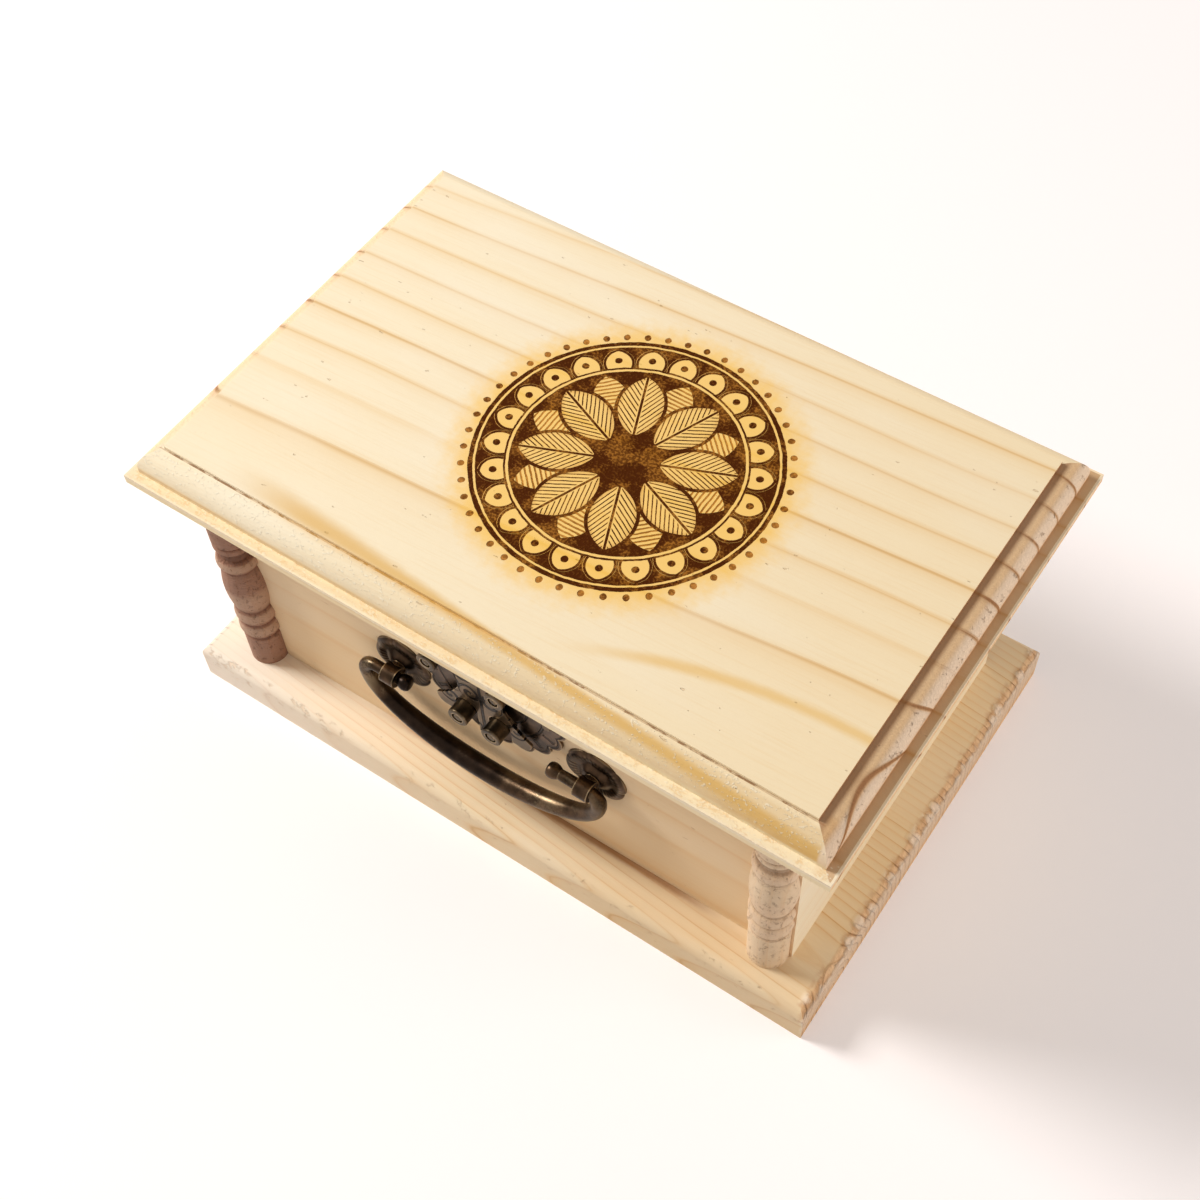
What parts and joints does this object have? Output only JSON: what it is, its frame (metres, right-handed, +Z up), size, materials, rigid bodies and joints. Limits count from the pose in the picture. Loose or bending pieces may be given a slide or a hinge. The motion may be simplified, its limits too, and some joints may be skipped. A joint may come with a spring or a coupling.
{
  "type": "keepsake box",
  "caption": "Small unfinished pine keepsake box with a moulded overhanging lid, turned front columns, a bail handle and a hasp latch on antique bronze fittings.",
  "frame": {"origin": "on the ground, under the middle of the lid board", "axes": "+Z up, the front with the handle and hasp faces -Y, +X to the right seen from the front"},
  "size_m": [0.22, 0.142, 0.1082],
  "materials": {
    "pine": "bare sanded pine, pale cream with honey-coloured growth rings",
    "spindle_wood": "bare turned softwood, a little greyer than the boards",
    "antique_bronze": "dark antique bronze plating, worn bright on edges and knobs",
    "hinge_bronze": "dark antique bronze plating, satin",
    "steel": "zinc-plated steel"
  },
  "bodies": {
    "box": {"base_board": "pine", "base_nails": "steel", "front_wall": "pine", "back_wall": "pine", "left_wall": "pine", "right_wall": "pine", "column_left": "spindle_wood", "column_right": "spindle_wood", "handle_rosette_left": "antique_bronze", "handle_rosette_right": "antique_bronze", "handle_post_left": "antique_bronze", "handle_post_right": "antique_bronze", "handle_washers": "steel", "handle_nuts": "steel", "latch_plate": "antique_bronze", "latch_post_left": "antique_bronze", "latch_post_right": "antique_bronze", "latch_tacks": "antique_bronze", "hinge_wall_leaf_left": "hinge_bronze", "hinge_wall_leaf_right": "hinge_bronze", "hinge_pin_left": "steel", "hinge_pin_right": "steel", "hinge_wall_screws": "steel"},
    "lid": {"lid_board": "pine", "hasp_bracket": "antique_bronze", "bracket_screws": "steel", "hasp_pin": "antique_bronze", "hinge_lid_leaf_left": "hinge_bronze", "hinge_lid_leaf_right": "hinge_bronze", "hinge_lid_screws": "steel"},
    "hasp": {"hasp": "antique_bronze"},
    "bail": {"bail": "antique_bronze"}
  },
  "joints": [
    {"name": "lid_hinge", "type": "hinge", "parent": "box", "child": "lid", "pos_m": [0, 0.0583, 0.0949], "axis": [-1, 0, 0], "range_deg": [0, 94]},
    {"name": "hasp_hinge", "type": "hinge", "parent": "lid", "child": "hasp", "pos_m": [-0.0012, -0.0622, 0.0834], "axis": [-1, 0, 0], "range_deg": [0, 140]},
    {"name": "bail_hinge", "type": "hinge", "parent": "box", "child": "bail", "pos_m": [-0.0016, -0.0625, 0.0548], "axis": [-1, 0, 0], "range_deg": [0, 150]}
  ]
}
